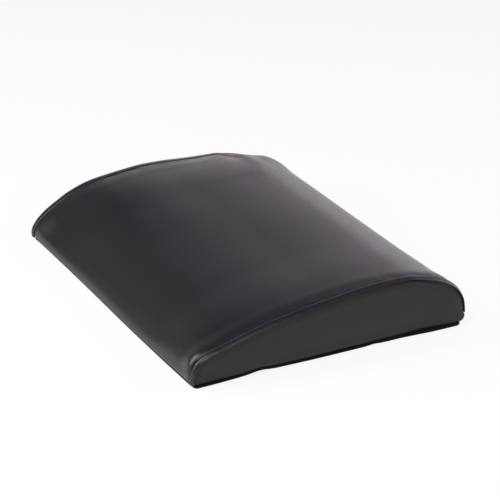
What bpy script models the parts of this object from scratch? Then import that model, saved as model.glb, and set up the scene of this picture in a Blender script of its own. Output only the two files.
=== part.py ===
# A contoured abdominal mat: a foam block in a sewn leather cover that a zip closes.
# Run with: blender --background --python part.py
#
# X runs along the curved profile, from the low edge at -X to the steep nose at +X.
# Y runs across the body, from one end panel to the other, and Z is up.
# The base lies on z = 0, under the middle of the overall length and width.

import math

import bmesh
import bpy
from mathutils import Vector

# Driving dimensions, in metres.
BASE_LENGTH = 0.2845        # along the profile, where the cover meets the base
OVERALL_WIDTH = 0.381       # across the body, over the two seam welts
CROWN_HEIGHT = 0.063        # top of the leather at the crown
END_LEAN = 0.003            # how far each end panel draws in, from its top to the base
SEAT_GAP = 0.0003           # between two faces that touch

# The leather's outer face between its two feet, from the low edge round to the nose:
# shares of the base length from the low edge, and of the crown height.
PROFILE_SHARES = (
    (-0.004, 0.240),
    (0.012, 0.375),
    (0.046, 0.470),
    (0.105, 0.552),
    (0.221, 0.700),
    (0.378, 0.845),
    (0.511, 0.925),
    (0.629, 0.985),
    (0.733, 1.000),
    (0.805, 0.975),
    (0.874, 0.882),
    (0.942, 0.735),
    (0.980, 0.600),
    (1.008, 0.410),
)
LOW_FOOT_SHARE = -0.003     # x of the leather's foot at the low edge
NOSE_FOOT_SHARE = 1.018     # x of the leather's foot at the nose
CURVE_STEPS = 2             # straight pieces from one profile point to the next
SMOOTH_ANGLE = math.radians(40)

# Sewn cover.
PANEL_THICKNESS = 0.0018    # leather with its laminated lining
WELT_WIDTH = 0.0065         # folded seam allowance, from its edge to the topstitching
WELT_RISE = 0.0010          # the folded edge above the panel beside it
WELT_ROUND = 0.0012         # the welt's outer edge is rounded over by this much
GROOVE_DEPTH = 0.0004       # the topstitching pulls the leather in by this much
GROOVE_FLANK = 0.0006       # across each sloping side of that groove
END_PANEL_INSET = 0.0008    # an end panel's face behind the welt's edge
THREAD_DIAMETER = 0.0005
THREAD_STEPS = 1            # bevel resolution of a thread's round section

# Non-slip base.
BASE_THICKNESS = 0.0022
BASE_INSET = 0.0005         # the base's edge behind the faces that stand on it
BASE_CORNER = 0.0040        # plan radius of its corners
CORNER_STEPS = 4
BASE_ROUND_SHARE = 0.8      # round of its lower nose edge, as a share of its thickness
LIP_RISE = 0.0022           # the turned-up edge below the zip, above the base
LIP_THICKNESS = 0.0010

# Coil zip, in the undercut below the nose.
TAPE_THICKNESS = 0.0005
TAPE_WIDTH = 0.0110
TAPE_HALF_GAP = 0.0009      # from the chain's centre line to each tape's edge
ROW_WIDTH = 0.0020          # one coil row, across the chain
ROW_HEIGHT = 0.0013
CHAIN_MARGIN = 0.0080       # from each end of the tapes to the nearest stop
WINDOW_CLEARANCE = 0.0006   # above and below the slider, to the hem and the lip
STOP_LENGTH = 0.0022
STOP_WALL = 0.0004
STOP_REACH = 0.0020         # how far a top stop grips over its tape

SLIDER_LENGTH = 0.0086
SLIDER_PLATE = 0.0008       # thickness of the front and back plates
SLIDER_FLANGE = 0.0007
SLIDER_BODY_SHARE = 0.60    # the parallel part, as a share of the length
SLIDER_MOUTH_SHARE = 0.55   # width of the front edge, as a share of the body's
POST_LENGTH = 0.0016
POST_HALF_WIDTH = 0.0006
BRIDGE_LENGTH = 0.0056
BRIDGE_WIDTH = 0.0016
BRIDGE_THICKNESS = 0.0007
BRIDGE_LEG = 0.0008

PULL_THICKNESS = 0.0009
PULL_LENGTH = 0.0160        # from the hinge axis to the free end
PULL_RAIL = 0.0011          # beside the slot that the bridge stands in
PULL_CLEARANCE = 0.0004     # between the slot and the bridge
PULL_EYE = 0.0011           # radius of the hole near the free end
EYE_STEPS = 12

# Across the chain: the slider's flanges hold the two rows, and the window fits it.
row_half_span = SEAT_GAP / 2 + ROW_WIDTH
slider_half = row_half_span + SEAT_GAP + SLIDER_FLANGE
lip_height = BASE_THICKNESS + LIP_RISE
chain_height = lip_height + WINDOW_CLEARANCE + slider_half
hem_height = chain_height + slider_half + WINDOW_CLEARANCE
tape_top = chain_height + TAPE_HALF_GAP + TAPE_WIDTH
panel_bottom = BASE_THICKNESS + SEAT_GAP

# Outwards from the tapes' outer face: rows, front plate, pull and bridge.
plate_in = SEAT_GAP + ROW_HEIGHT + SEAT_GAP
plate_out = plate_in + SLIDER_PLATE
hinge_out = plate_out + SEAT_GAP + PULL_THICKNESS / 2
bridge_in = hinge_out + PULL_THICKNESS / 2 + SEAT_GAP
bridge_out = bridge_in + BRIDGE_THICKNESS
back_plate_in = -TAPE_THICKNESS - SEAT_GAP - SLIDER_PLATE

def smooth_curve(points, steps):
    """Points along a smooth curve that passes through the given ones."""
    knots = [Vector(point) for point in points]
    spans = [(b - a).length for a, b in zip(knots, knots[1:])]
    slopes = [(b - a) / span for a, b, span in zip(knots, knots[1:], spans)]
    tangents = [slopes[0]]
    for before, after, a, b in zip(slopes, slopes[1:], spans, spans[1:]):
        tangents.append((before * b + after * a) / (a + b))
    tangents.append(slopes[-1])
    curve = []
    for i, span in enumerate(spans):
        for step in range(steps):
            t = step / steps
            curve.append(
                knots[i] * (2 * t**3 - 3 * t**2 + 1)
                + tangents[i] * span * (t**3 - 2 * t**2 + t)
                + knots[i + 1] * (3 * t**2 - 2 * t**3)
                + tangents[i + 1] * span * (t**3 - t**2)
            )
    return curve + [knots[-1]]


def moved_in(points, distance):
    """The profile moved square to itself, towards the foam where it is positive."""
    moved = []
    for i, point in enumerate(points):
        run = points[min(i + 1, len(points) - 1)] - points[max(i - 1, 0)]
        run.normalize()
        moved.append(point + Vector((run.y, -run.x)) * distance)
    return moved


def profile_from(start_x):
    """The leather's outer face, over the crown to the hem, with its base from start_x."""
    points = [(start_x + LOW_FOOT_SHARE * BASE_LENGTH, panel_bottom)]
    for along, rise in PROFILE_SHARES:
        points.append((start_x + along * BASE_LENGTH, rise * CROWN_HEIGHT))
    points.append((start_x + NOSE_FOOT_SHARE * BASE_LENGTH, hem_height))
    return smooth_curve(points, CURVE_STEPS)


# Along the body: x = 0 is the middle of the overall length, which runs from one welt
# to the other. The slider's bridge comes out as far as the welt's foot on the nose.
welt_x = [point.x for point in moved_in(profile_from(0), -WELT_RISE)]
low_x = -(min(welt_x) + max(welt_x)) / 2
tape_x = low_x + max(welt_x) - bridge_out
lip_in_x = tape_x + SEAT_GAP
lip_out_x = lip_in_x + LIP_THICKNESS

# Along the chain: the slider rests closed, against the top stops.
end_wall = END_PANEL_INSET + PANEL_THICKNESS + SEAT_GAP
tape_half = OVERALL_WIDTH / 2 - END_LEAN - end_wall
stop_out_y = tape_half - CHAIN_MARGIN
slider_front_y = stop_out_y - STOP_LENGTH - SEAT_GAP
slider_y = slider_front_y - SLIDER_LENGTH / 2
row_start_y = -stop_out_y + STOP_LENGTH + SEAT_GAP
row_end_y = slider_front_y - POST_LENGTH - SEAT_GAP


def material(name, colour, roughness, metallic=0.0):
    made = bpy.data.materials.new(name)
    made.use_nodes = True
    shader = made.node_tree.nodes["Principled BSDF"]
    shader.inputs["Base Color"].default_value = (*colour, 1.0)
    shader.inputs["Roughness"].default_value = roughness
    shader.inputs["Metallic"].default_value = metallic
    made.diffuse_color = (*colour, 1.0)
    return made


def add_object(name, data, look):
    obj = bpy.data.objects.new(name, data)
    bpy.context.scene.collection.objects.link(obj)
    data.materials.append(look)
    return obj


def loft(name, loops, look):
    """Closed loops of equal length joined into one solid with flat ends."""
    bm = bmesh.new()
    rings = [[bm.verts.new(point) for point in loop] for loop in loops]
    count = len(rings[0])
    for ring, following in zip(rings, rings[1:]):
        for i in range(count):
            j = (i + 1) % count
            bm.faces.new((ring[i], ring[j], following[j], following[i]))
    bm.faces.new(rings[0])
    bm.faces.new(rings[-1])
    bmesh.ops.recalc_face_normals(bm, faces=bm.faces)
    mesh = bpy.data.meshes.new(name)
    bm.to_mesh(mesh)
    bm.free()
    mesh.shade_smooth()
    mesh.set_sharp_from_angle(angle=SMOOTH_ANGLE)
    return add_object(name, mesh, look)


def along_x(name, outline, x_from, x_to, look):
    """A (y, z) outline stood between two places on X."""
    return loft(name, [[(x, y, z) for y, z in outline] for x in (x_from, x_to)], look)


def along_y(name, outline, y_from, y_to, look):
    """An (x, z) outline stood between two places on Y."""
    return loft(name, [[(x, y, z) for x, z in outline] for y in (y_from, y_to)], look)


def along_z(name, outline, z_from, z_to, look):
    """An (x, y) outline stood between two heights."""
    return loft(name, [[(x, y, z) for x, y in outline] for z in (z_from, z_to)], look)


def rectangle(u_from, u_to, v_from, v_to):
    return [(u_from, v_from), (u_to, v_from), (u_to, v_to), (u_from, v_to)]


def arc(centre, radius, start, end, steps):
    """Points round part of a circle, with its angles in degrees."""
    angles = [math.radians(start + (end - start) * i / steps) for i in range(steps + 1)]
    return [
        (centre[0] + radius * math.cos(a), centre[1] + radius * math.sin(a))
        for a in angles
    ]


def combine(obj, tools, operation):
    """Join the tools to the object, or cut them out of it, and remove them."""
    for tool in tools:
        step = obj.modifiers.new(tool.name, "BOOLEAN")
        step.operation = operation
        step.object = tool
    graph = bpy.context.evaluated_depsgraph_get()
    graph.update()
    result = bpy.data.meshes.new_from_object(obj.evaluated_get(graph))
    obj.modifiers.clear()
    obj.data = result
    for tool in tools:
        bpy.data.objects.remove(tool)
    return obj


def raised_profile(rise):
    """The outer face raised square to itself, with its feet at their own heights."""
    raised = moved_in(profile_from(low_x), -rise)
    raised[0].y = panel_bottom
    raised[-1].y = hem_height
    return raised


def inner_profile(distance, cut_height, cut_x):
    """The outer face moved in, which turns in to cut_x at a height on the nose."""
    moved = moved_in(profile_from(low_x), distance)
    crown = max(range(len(moved)), key=lambda i: moved[i].y)
    kept = [p for i, p in enumerate(moved) if i < crown or p.y > cut_height]
    kept[0].y = panel_bottom
    return kept + [Vector((cut_x, cut_height))]


def half_width(z):
    """Half of the overall width at a height."""
    return OVERALL_WIDTH / 2 - END_LEAN * (1 - z / CROWN_HEIGHT)


def stood_up(outline, way_in, side):
    """An outline at one end of the body, a given way in from the welt's edge."""
    return [(x, side * (half_width(z) - way_in), z) for x, z in outline]


def welt_section():
    """Across one welt and its topstitching: (way in from the welt's edge, rise)."""
    groove = THREAD_DIAMETER
    return [
        (0.0, WELT_RISE - WELT_ROUND),
        (WELT_ROUND / 4, WELT_RISE - WELT_ROUND / 4),
        (WELT_ROUND, WELT_RISE),
        (WELT_WIDTH - groove - GROOVE_FLANK, WELT_RISE),
        (WELT_WIDTH - groove, -GROOVE_DEPTH),
        (WELT_WIDTH + groove, -GROOVE_DEPTH),
        (WELT_WIDTH + groove + GROOVE_FLANK, 0.0),
    ]


def top_panel(look):
    """The leather from the base, over the crown, to a doubled hem at the zip."""
    inner = inner_profile(PANEL_THICKNESS, tape_top, lip_in_x)
    inner.append(Vector((lip_in_x, hem_height)))
    section = welt_section()
    loops = [stood_up(raised_profile(r) + inner[::-1], d, -1) for d, r in section]
    loops += [stood_up(raised_profile(r) + inner[::-1], d, 1) for d, r in section[::-1]]
    return loft("top_panel", loops, look)


def end_panel(name, side, look):
    """The crescent that closes one end, below the welt and down to the base. Its
    corner under the hem stays behind the pull, which lies over it at the chain's ends."""
    step_x = tape_x - TAPE_THICKNESS - SEAT_GAP
    outline = inner_profile(PANEL_THICKNESS + SEAT_GAP, tape_top + SEAT_GAP, step_x)
    outline += [
        Vector((step_x, hem_height - SEAT_GAP)),
        Vector((tape_x + plate_out, hem_height - SEAT_GAP)),
        Vector((lip_out_x, lip_height)),
        Vector((lip_in_x, panel_bottom)),
    ]
    faces = (END_PANEL_INSET, END_PANEL_INSET + PANEL_THICKNESS)
    return loft(name, [stood_up(outline, way_in, side) for way_in in faces], look)


def foam_core(look):
    """The contoured block that fills the cover, cut back behind the zip."""
    back_x = tape_x + back_plate_in - SEAT_GAP
    turn_x = lower_tape_turn_x() - SEAT_GAP
    turn_top = panel_bottom + TAPE_THICKNESS + SEAT_GAP
    outline = inner_profile(PANEL_THICKNESS + SEAT_GAP, tape_top + SEAT_GAP, back_x)
    outline += [
        Vector((back_x, turn_top)),
        Vector((turn_x, turn_top)),
        Vector((turn_x, panel_bottom)),
    ]
    return loft("foam_core", [stood_up(outline, end_wall, s) for s in (-1, 1)], look)


def base_panel(look):
    """The non-slip base, turned up at the nose to carry the zip's lower tape."""
    back_x = low_x + BASE_INSET
    side_y = half_width(0) - END_PANEL_INSET - BASE_INSET
    corner_x = (back_x + BASE_CORNER, lip_out_x - BASE_CORNER)
    corner_y = side_y - BASE_CORNER
    outline = []
    outline += arc((corner_x[1], corner_y), BASE_CORNER, 0, 90, CORNER_STEPS)
    outline += arc((corner_x[0], corner_y), BASE_CORNER, 90, 180, CORNER_STEPS)
    outline += arc((corner_x[0], -corner_y), BASE_CORNER, 180, 270, CORNER_STEPS)
    outline += arc((corner_x[1], -corner_y), BASE_CORNER, 270, 360, CORNER_STEPS)
    panel = along_z("base_panel", outline, 0, BASE_THICKNESS, look)

    lip_outline = rectangle(lip_in_x, lip_out_x, BASE_THICKNESS / 2, lip_height)
    lip = along_y("lip", lip_outline, -tape_half, tape_half, look)
    edge_round = BASE_ROUND_SHARE * BASE_THICKNESS
    round_x = lip_out_x - edge_round
    outside = [(lip_out_x + edge_round, -edge_round)]
    outside += arc((round_x, edge_round), edge_round, 0, -90, CORNER_STEPS)
    outside.append((round_x, -edge_round))
    shaver = along_y("shaver", outside, -OVERALL_WIDTH, OVERALL_WIDTH, look)
    combine(panel, [lip], "UNION")
    return combine(panel, [shaver], "DIFFERENCE")


def thread(name, points, look):
    """A sewing thread laid along the points."""
    curve = bpy.data.curves.new(name, "CURVE")
    curve.dimensions = "3D"
    curve.bevel_depth = THREAD_DIAMETER / 2
    curve.bevel_resolution = THREAD_STEPS
    curve.use_fill_caps = True
    spline = curve.splines.new("POLY")
    spline.points.add(len(points) - 1)
    for target, point in zip(spline.points, points):
        target.co = (*point, 1.0)
    return add_object(name, curve, look)


def seam_stitch(name, side, look):
    """The topstitching in the groove beside one welt."""
    height = SEAT_GAP + THREAD_DIAMETER / 2 - GROOVE_DEPTH
    return thread(name, stood_up(raised_profile(height), WELT_WIDTH, side), look)


def zip_stitch_upper(look):
    """The seam that holds the upper tape, part of the way up the hem."""
    height = (hem_height + tape_top) / 2
    outside = raised_profile(SEAT_GAP + THREAD_DIAMETER / 2)
    above, below = [
        (a, b) for a, b in zip(outside, outside[1:]) if b.y <= height < a.y
    ][-1]
    spot = below + (above - below) * (height - below.y) / (above.y - below.y)
    reach = half_width(height) - WELT_WIDTH - THREAD_DIAMETER - GROOVE_FLANK
    return thread("zip_stitch_upper", [(spot.x, y, spot.y) for y in (-reach, reach)], look)


def zip_stitch_lower(look):
    """The seam that holds the lower tape to the base's turned-up lip."""
    x = lip_out_x + SEAT_GAP + THREAD_DIAMETER / 2
    z = (BASE_THICKNESS + lip_height) / 2
    return thread("zip_stitch_lower", [(x, y, z) for y in (-tape_half, tape_half)], look)


def lower_tape_turn_x():
    """Where the lower tape, turned in under the foam, ends."""
    upright = chain_height - TAPE_HALF_GAP - panel_bottom
    return tape_x - (TAPE_WIDTH - upright)


def zip_tapes(look):
    """The upper tape stands behind the hem, and the lower one turns in on the base."""
    inside_x = tape_x - TAPE_THICKNESS
    upper = rectangle(inside_x, tape_x, chain_height + TAPE_HALF_GAP, tape_top)
    turn_x = lower_tape_turn_x()
    lower = [
        (tape_x, panel_bottom),
        (tape_x, chain_height - TAPE_HALF_GAP),
        (inside_x, chain_height - TAPE_HALF_GAP),
        (inside_x, panel_bottom + TAPE_THICKNESS),
        (turn_x, panel_bottom + TAPE_THICKNESS),
        (turn_x, panel_bottom),
    ]
    along_y("zip_tape_upper", upper, -tape_half, tape_half, look)
    along_y("zip_tape_lower", lower, -tape_half, tape_half, look)


def zip_rows(look):
    """The two coil rows, each as the strip that its coil fills."""
    near_x = tape_x + SEAT_GAP
    for name, side in (("zip_row_upper", 1), ("zip_row_lower", -1)):
        z_from, z_to = sorted(
            chain_height + side * reach for reach in (SEAT_GAP / 2, row_half_span)
        )
        outline = rectangle(near_x, near_x + ROW_HEIGHT, z_from, z_to)
        along_y(name, outline, row_start_y, row_end_y, look)


def zip_stops(look):
    """A clip round each tape's edge at the closed end, and a block at the other."""
    out_x = tape_x + SEAT_GAP
    in_x = tape_x - TAPE_THICKNESS - SEAT_GAP
    for name, side in (("zip_top_stop_upper", 1), ("zip_top_stop_lower", -1)):
        edge = chain_height + side * (TAPE_HALF_GAP - SEAT_GAP)
        end = chain_height + side * (TAPE_HALF_GAP + STOP_REACH)
        outline = [
            (in_x - STOP_WALL, end),
            (in_x - STOP_WALL, edge - side * STOP_WALL),
            (out_x + STOP_WALL, edge - side * STOP_WALL),
            (out_x + STOP_WALL, end),
            (out_x, end),
            (out_x, edge),
            (in_x, edge),
            (in_x, end),
        ]
        along_y(name, outline, stop_out_y - STOP_LENGTH, stop_out_y, look)
    block = rectangle(
        out_x, out_x + ROW_HEIGHT,
        chain_height - row_half_span, chain_height + row_half_span,
    )
    along_y("zip_bottom_stop", block, -stop_out_y, -stop_out_y + STOP_LENGTH, look)


def zip_slider(look):
    """The slider, with its origin on the tapes' outer face at the chain's centre."""
    back = -SLIDER_LENGTH / 2
    front = SLIDER_LENGTH / 2
    shoulder = back + SLIDER_BODY_SHARE * SLIDER_LENGTH
    mouth = SLIDER_MOUTH_SHARE * slider_half
    plate = [
        (back, -slider_half), (shoulder, -slider_half), (front, -mouth),
        (front, mouth), (shoulder, slider_half), (back, slider_half),
    ]
    inside = SLIDER_PLATE / 2
    slider = along_x("zip_slider", plate, plate_in, plate_out, look)
    tools = [along_x("back_plate", plate, back_plate_in, back_plate_in + SLIDER_PLATE, look)]
    for side in (-1, 1):
        z_from, z_to = sorted(
            side * reach for reach in (slider_half - SLIDER_FLANGE, slider_half)
        )
        flange = rectangle(back, shoulder, z_from, z_to)
        tools.append(along_x("flange", flange, SEAT_GAP, plate_in + inside, look))
        leg_from, leg_to = sorted(
            side * reach for reach in (BRIDGE_LENGTH / 2 - BRIDGE_LEG, BRIDGE_LENGTH / 2)
        )
        leg = rectangle(leg_from, leg_to, -BRIDGE_WIDTH / 2, BRIDGE_WIDTH / 2)
        tools.append(
            along_x("leg", leg, plate_out - inside, bridge_in + BRIDGE_THICKNESS / 2, look)
        )
    bar = rectangle(
        -BRIDGE_LENGTH / 2, BRIDGE_LENGTH / 2, -BRIDGE_WIDTH / 2, BRIDGE_WIDTH / 2
    )
    tools.append(along_x("bar", bar, bridge_in, bridge_out, look))
    post = rectangle(front - POST_LENGTH, front, -POST_HALF_WIDTH, POST_HALF_WIDTH)
    tools.append(along_x("post", post, back_plate_in + inside, plate_in + inside, look))
    combine(slider, tools, "UNION")
    slider.location = (tape_x, slider_y, chain_height)
    return slider


def zip_pull(slider, look):
    """The pull, with its origin on its hinge axis, lying back along the chain."""
    slot_half = BRIDGE_WIDTH / 2 + PULL_CLEARANCE
    half = slot_half + PULL_RAIL
    bar = PULL_THICKNESS / 2
    slot_end = math.hypot(BRIDGE_LENGTH / 2, bridge_out - hinge_out) + PULL_CLEARANCE
    round_y = half - PULL_LENGTH
    outline = [(bar, -half), (bar, half)]
    outline += arc((round_y, 0), half, 90, 270, EYE_STEPS)
    pull = along_x("zip_pull", outline, -bar, bar, look)
    slot = along_x(
        "slot", rectangle(-slot_end, -bar, -slot_half, slot_half),
        -PULL_THICKNESS, PULL_THICKNESS, look,
    )
    eye_outline = arc((round_y, 0), PULL_EYE, 0, 360, EYE_STEPS)[:-1]
    eye = along_x("eye", eye_outline, -PULL_THICKNESS, PULL_THICKNESS, look)
    combine(pull, [slot, eye], "DIFFERENCE")
    pull.parent = slider
    pull.location = (hinge_out, 0, 0)
    return pull


def main():
    for obj in list(bpy.data.objects):
        bpy.data.objects.remove(obj)
    leather = material("black_leather", (0.012, 0.011, 0.013), 0.42)
    side_leather = material("end_leather", (0.014, 0.012, 0.012), 0.50)
    rubber_cloth = material("non_slip_cloth", (0.006, 0.006, 0.006), 0.85)
    foam = material("foam", (0.045, 0.047, 0.050), 0.95)
    thread_black = material("black_thread", (0.012, 0.012, 0.013), 0.60)
    tape = material("zip_tape", (0.010, 0.010, 0.011), 0.80)
    coil = material("zip_coil", (0.014, 0.014, 0.015), 0.35)
    dark_metal = material("dark_metal", (0.060, 0.060, 0.063), 0.35, metallic=1.0)

    foam_core(foam)
    top_panel(leather)
    end_panel("end_panel_left", -1, side_leather)
    end_panel("end_panel_right", 1, side_leather)
    base_panel(rubber_cloth)
    seam_stitch("seam_stitch_left", -1, thread_black)
    seam_stitch("seam_stitch_right", 1, thread_black)
    zip_stitch_upper(thread_black)
    zip_stitch_lower(thread_black)
    zip_tapes(tape)
    zip_rows(coil)
    zip_stops(dark_metal)
    slider = zip_slider(dark_metal)
    zip_pull(slider, dark_metal)


main()
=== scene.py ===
import math

import bmesh
import bpy
import numpy as np
from mathutils import Matrix, Vector


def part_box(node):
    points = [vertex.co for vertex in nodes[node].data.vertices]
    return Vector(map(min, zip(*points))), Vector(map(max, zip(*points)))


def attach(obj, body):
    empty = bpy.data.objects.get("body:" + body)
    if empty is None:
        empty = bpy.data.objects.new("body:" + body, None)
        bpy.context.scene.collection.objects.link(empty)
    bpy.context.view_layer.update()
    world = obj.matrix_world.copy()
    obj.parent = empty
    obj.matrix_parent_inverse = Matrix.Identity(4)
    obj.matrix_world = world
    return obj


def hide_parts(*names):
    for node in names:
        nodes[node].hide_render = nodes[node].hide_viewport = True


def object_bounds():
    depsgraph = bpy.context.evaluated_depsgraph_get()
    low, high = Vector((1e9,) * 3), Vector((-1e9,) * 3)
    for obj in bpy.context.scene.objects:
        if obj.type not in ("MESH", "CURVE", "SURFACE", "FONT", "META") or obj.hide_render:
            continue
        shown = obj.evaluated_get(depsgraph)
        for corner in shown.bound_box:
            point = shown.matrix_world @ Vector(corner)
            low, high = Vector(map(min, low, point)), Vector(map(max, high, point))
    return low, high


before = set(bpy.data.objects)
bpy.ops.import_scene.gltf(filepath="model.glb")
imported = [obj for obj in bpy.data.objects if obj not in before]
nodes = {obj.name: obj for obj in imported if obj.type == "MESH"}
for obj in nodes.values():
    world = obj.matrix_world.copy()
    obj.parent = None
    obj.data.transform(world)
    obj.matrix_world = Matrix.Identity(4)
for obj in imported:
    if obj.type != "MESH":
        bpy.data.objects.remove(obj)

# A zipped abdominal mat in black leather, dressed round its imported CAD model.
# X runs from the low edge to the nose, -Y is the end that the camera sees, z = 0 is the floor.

mm = 0.001
scene = bpy.context.scene
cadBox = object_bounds()


def pick(piece):
    # operators act on all that is selected, so everything else is let go first
    bpy.ops.object.select_all(action="DESELECT")
    piece.hide_set(False)
    piece.select_set(True)
    bpy.context.view_layer.objects.active = piece


def applyModifiers(piece):
    pick(piece)
    for modifier in list(piece.modifiers):
        bpy.ops.object.modifier_apply(modifier=modifier.name)


def smoothShade(piece, degrees):
    pick(piece)
    bpy.ops.object.shade_smooth_by_angle(angle=math.radians(degrees))


def thicken(piece, thickness):
    # inwards from the sheet's outer face
    solid = piece.modifiers.new("thickness", "SOLIDIFY")
    solid.thickness = thickness
    solid.offset = -1


def roundEdges(piece, width, segments, degrees):
    rounded = piece.modifiers.new("round", "BEVEL")
    rounded.width = width
    rounded.segments = segments
    rounded.limit_method = "ANGLE"
    rounded.angle_limit = math.radians(degrees)


def repeat(piece, count, step):
    # copies of the mesh in a straight row
    array = piece.modifiers.new("array", "ARRAY")
    array.count = count
    array.use_relative_offset = False
    array.use_constant_offset = True
    array.constant_offset_displace = step


def startPiece(name, primitive, **settings):
    bpy.ops.object.select_all(action="DESELECT")
    primitive(**settings)
    piece = bpy.context.object
    piece.name = piece.data.name = name
    return piece


def addPiece(name, points, faces):
    mesh = bpy.data.meshes.new(name)
    mesh.from_pydata([tuple(float(c) for c in point) for point in points], [], faces)
    piece = bpy.data.objects.new(name, mesh)
    scene.collection.objects.link(piece)
    return piece


def gridFaces(rows, columns, ringed=False):
    # quads over rows of points, closed round each row where it is ringed
    across = columns if ringed else columns - 1
    faces = []
    for row in range(rows - 1):
        for column in range(across):
            after = (column + 1) % columns
            faces.append((row * columns + column, row * columns + after,
                          (row + 1) * columns + after, (row + 1) * columns + column))
    return faces


def outwards(piece):
    # merged doubles and outward faces, for a closed mesh
    edit = bmesh.new()
    edit.from_mesh(piece.data)
    bmesh.ops.remove_doubles(edit, verts=edit.verts, dist=0.005 * mm)
    bmesh.ops.recalc_face_normals(edit, faces=edit.faces)
    edit.to_mesh(piece.data)
    edit.free()


def finishPiece(piece, material, body, replaced=()):
    piece.data.materials.clear()
    piece.data.materials.append(material)
    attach(piece, body)
    if replaced:
        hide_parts(*replaced)
    return piece


def easeIn(value):
    # 0 to 1 with soft ends
    t = np.clip(value, 0, 1)
    return t * t * (3 - 2 * t)


def bump(value, centre, width):
    return np.exp(-((value - centre) / width) ** 2)


# Camera, at the photograph's angle
camera = {"azimuth": -27.7, "elevation": 24.8, "distance": 2.3673, "lens": 165.6,
          "target": (0.0414, 0.0569, 0.0)}


def addCamera():
    side, up = math.radians(camera["azimuth"]), math.radians(camera["elevation"])
    back = Vector((math.sin(side) * math.cos(up), -math.cos(side) * math.cos(up), math.sin(up)))
    place = Vector(camera["target"]) + back * camera["distance"]
    bpy.ops.object.camera_add(location=place, rotation=(-back).to_track_quat("-Z", "Y").to_euler())
    shot = bpy.context.object
    shot.name = "photoCamera"
    shot.data.lens = camera["lens"]
    shot.data.sensor_width = 36
    scene.camera = shot


addCamera()
print("camera placed")


# Materials
def newMaterial(name, colour, roughness, metallic=0.0, specular=0.5):
    material = bpy.data.materials.new(name)
    material.use_nodes = True
    tree = material.node_tree
    shader = tree.nodes["Principled BSDF"]
    shader.inputs["Base Color"].default_value = (*colour, 1)
    shader.inputs["Roughness"].default_value = roughness
    shader.inputs["Metallic"].default_value = metallic
    shader.inputs["Specular IOR Level"].default_value = specular
    return material, tree, shader


def addNode(tree, kind, inputs=None, **settings):
    node = tree.nodes.new(kind)
    for key, value in settings.items():
        setattr(node, key, value)
    for key, value in (inputs or {}).items():
        if isinstance(value, bpy.types.NodeSocket):
            tree.links.new(value, node.inputs[key])
        else:
            node.inputs[key].default_value = value
    return node


def objectPoint(tree, scale=(1, 1, 1), turn=(0, 0, 0)):
    place = addNode(tree, "ShaderNodeTexCoord")
    mapping = addNode(tree, "ShaderNodeMapping",
                      {"Vector": place.outputs["Object"], "Rotation": turn, "Scale": scale})
    return mapping.outputs["Vector"]


def noise(tree, point, scale, detail, roughness=0.5):
    node = addNode(tree, "ShaderNodeTexNoise",
                   {"Vector": point, "Scale": scale, "Detail": detail, "Roughness": roughness})
    return node.outputs["Fac"]


def spread(tree, value, low, high, fromLow, fromHigh):
    node = addNode(tree, "ShaderNodeMapRange", {"Value": value, "From Min": fromLow, "From Max": fromHigh,
                                                "To Min": low, "To Max": high})
    return node.outputs["Result"]


def reckoned(tree, operation, first, second, **settings):
    node = addNode(tree, "ShaderNodeMath", {0: first, 1: second}, operation=operation, **settings)
    return node.outputs["Value"]


def addBump(tree, shader, height, distance, under=None):
    inputs = {"Height": height, "Distance": distance, "Strength": 1.0}
    if under is not None:
        inputs["Normal"] = under
    node = addNode(tree, "ShaderNodeBump", inputs)
    tree.links.new(node.outputs["Normal"], shader.inputs["Normal"])
    return node.outputs["Normal"]


def varyColour(tree, shader, value, dark, light):
    mix = addNode(tree, "ShaderNodeMix", data_type="RGBA")
    tree.links.new(value, mix.inputs["Factor"])
    mix.inputs["A"].default_value = (*dark, 1)
    mix.inputs["B"].default_value = (*light, 1)
    tree.links.new(mix.outputs["Result"], shader.inputs["Base Color"])


def varyGloss(tree, shader, value, smooth, rough):
    tree.links.new(spread(tree, value, smooth, rough, 0.3, 0.7), shader.inputs["Roughness"])


leatherLook = {
    "top": {"dark": (0.0100, 0.0096, 0.0122), "light": (0.0140, 0.0134, 0.0165),
            "gloss": (0.98, 0.94, 1.0), "smooth": 0.27, "rough": 0.37, "specular": 0.45},
    "end": {"dark": (0.0115, 0.0097, 0.0100), "light": (0.0155, 0.0132, 0.0135),
            "gloss": (1.0, 0.95, 0.97), "smooth": 0.44, "rough": 0.54, "specular": 0.34},
    "pebble": 1250, "crease": 420, "cloud": 16,          # scale of each pattern
    "pebbleDepth": 0.022 * mm, "creaseDepth": 0.035 * mm,
}


def leather(name, look):
    material, tree, shader = newMaterial(name, look["dark"], look["smooth"], specular=look["specular"])
    shader.inputs["Specular Tint"].default_value = (*look["gloss"], 1)
    point = objectPoint(tree)
    cloud = noise(tree, point, leatherLook["cloud"], 4.0, 0.6)
    crease = noise(tree, point, leatherLook["crease"], 5.0, 0.65)
    pebble = addNode(tree, "ShaderNodeTexVoronoi", {"Vector": point, "Scale": leatherLook["pebble"]},
                     feature="F1")
    varyColour(tree, shader, cloud, look["dark"], look["light"])
    varyGloss(tree, shader, crease, look["smooth"], look["rough"])
    under = addBump(tree, shader, crease, leatherLook["creaseDepth"])
    addBump(tree, shader, pebble.outputs["Distance"], leatherLook["pebbleDepth"], under=under)
    return material


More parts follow.
